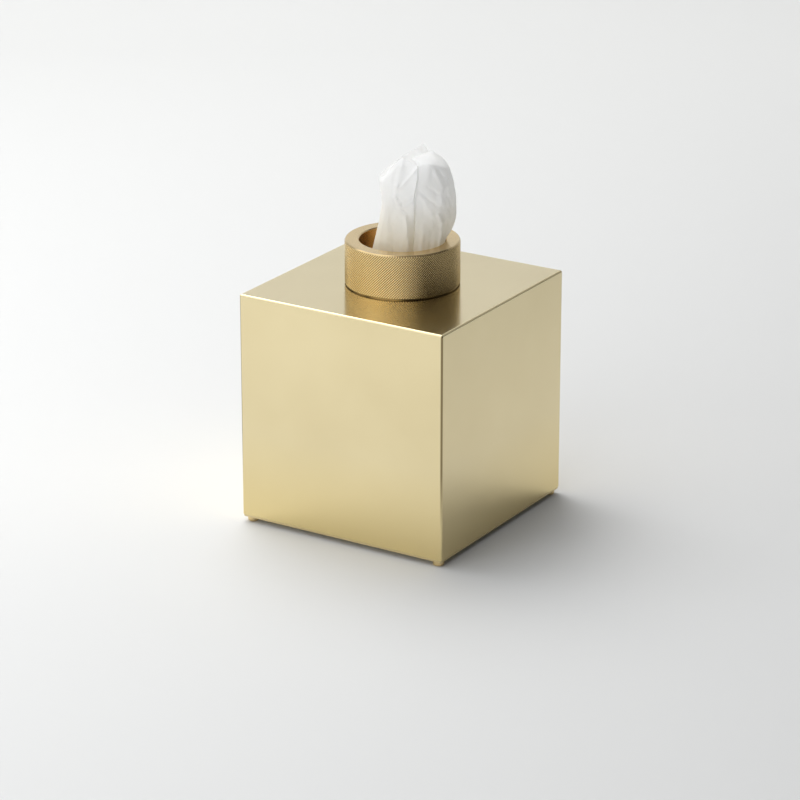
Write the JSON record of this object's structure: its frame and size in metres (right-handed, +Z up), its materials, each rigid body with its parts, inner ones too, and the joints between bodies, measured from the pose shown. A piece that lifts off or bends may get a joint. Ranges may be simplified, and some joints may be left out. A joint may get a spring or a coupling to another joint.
{
  "type": "tissue box cover",
  "caption": "Square brass tissue box cover with a knurled ring collar, lifting off a plate base on small feet, with a pack of tissues inside and one drawn tissue.",
  "frame": {"origin": "on the floor, under the middle of the box", "axes": "+Z up, out of the ring's bore; X and Y square to the cover's four faces"},
  "size_m": [0.13, 0.13, 0.209],
  "materials": {
    "satin_brass": "satin",
    "ring_brass": "satin",
    "plate_brass": "satin",
    "foot_brass": "polished",
    "screw_brass": "polished",
    "tissue_pack": "matte",
    "tissue": "matte"
  },
  "bodies": {
    "base": {"base_plate": "plate_brass", "locating_tray": "plate_brass", "foot_front_left": "foot_brass", "foot_front_right": "foot_brass", "foot_back_left": "foot_brass", "foot_back_right": "foot_brass", "foot_screws": "screw_brass", "tissue_pack": "tissue_pack"},
    "cover": {"cover_shell": "satin_brass", "knurled_ring": "ring_brass", "ring_screws": "screw_brass", "drawn_tissue": "tissue"}
  },
  "joints": [
    {"name": "cover_lift", "type": "slide", "parent": "base", "child": "cover", "axis": [0, 0, 1], "range_m": [0, 0.12]}
  ]
}
